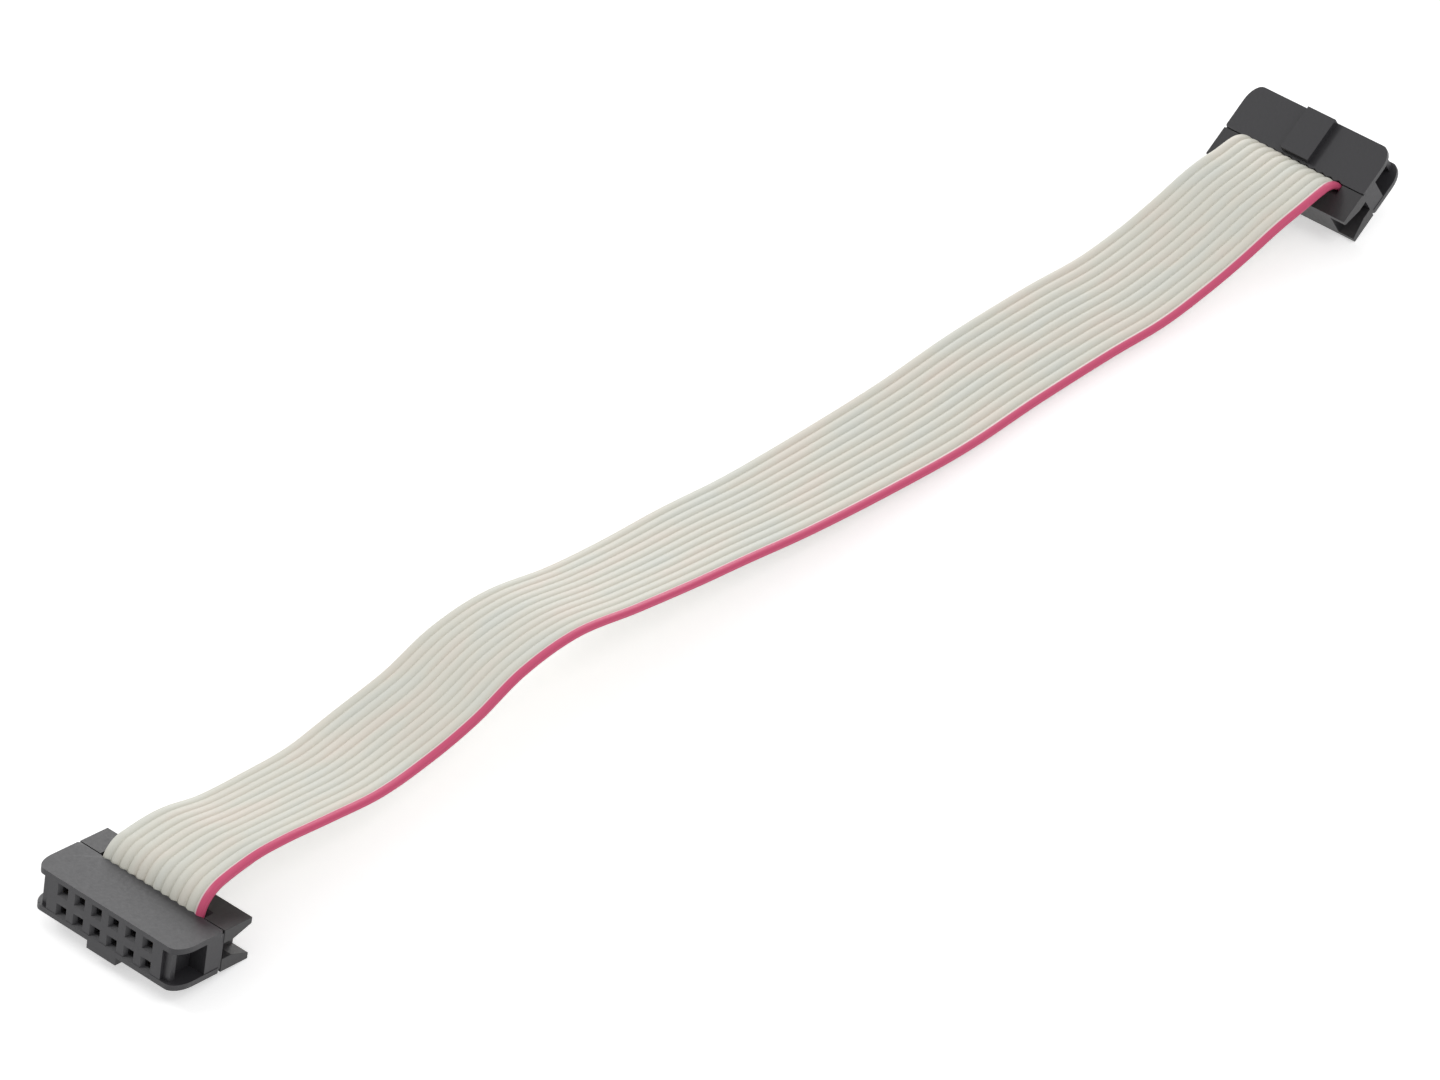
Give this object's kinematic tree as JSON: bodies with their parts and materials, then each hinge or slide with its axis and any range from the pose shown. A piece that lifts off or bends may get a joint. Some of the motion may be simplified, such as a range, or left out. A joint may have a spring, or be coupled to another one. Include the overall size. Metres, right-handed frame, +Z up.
{
  "type": "flat ribbon cable with two sockets",
  "caption": "Flat grey ribbon cable with a red edge wire and a keyed black two-row insulation-displacement socket pressed on each end.",
  "frame": {"origin": "bottom centre of the box round the two sockets, on the surface that they rest on", "axes": "+X from socket A towards socket B, +Z up"},
  "size_m": [0.1604, 0.0296, 0.0088],
  "materials": {
    "housing": "fine matt moulded black plastic",
    "cover": "fine matt moulded black plastic",
    "ribbon_grey": "smooth flexible grey insulation with a satin sheen",
    "ribbon_red": "smooth flexible red insulation with a satin sheen",
    "contact": "plated spring strip"
  },
  "bodies": {
    "root": {"socket_body_a": "housing", "socket_cover_a": "cover", "socket_body_b": "housing", "socket_cover_b": "cover", "ribbon": "ribbon_grey", "ribbon_marked_edge": "ribbon_red", "contact_a_01": "contact", "contact_a_02": "contact", "contact_a_03": "contact", "contact_a_04": "contact", "contact_a_05": "contact", "contact_a_06": "contact", "contact_a_07": "contact", "contact_a_08": "contact", "contact_a_09": "contact", "contact_a_10": "contact", "contact_a_11": "contact", "contact_a_12": "contact", "contact_b_01": "contact", "contact_b_02": "contact", "contact_b_03": "contact", "contact_b_04": "contact", "contact_b_05": "contact", "contact_b_06": "contact", "contact_b_07": "contact", "contact_b_08": "contact", "contact_b_09": "contact", "contact_b_10": "contact", "contact_b_11": "contact", "contact_b_12": "contact"}
  },
  "joints": []
}
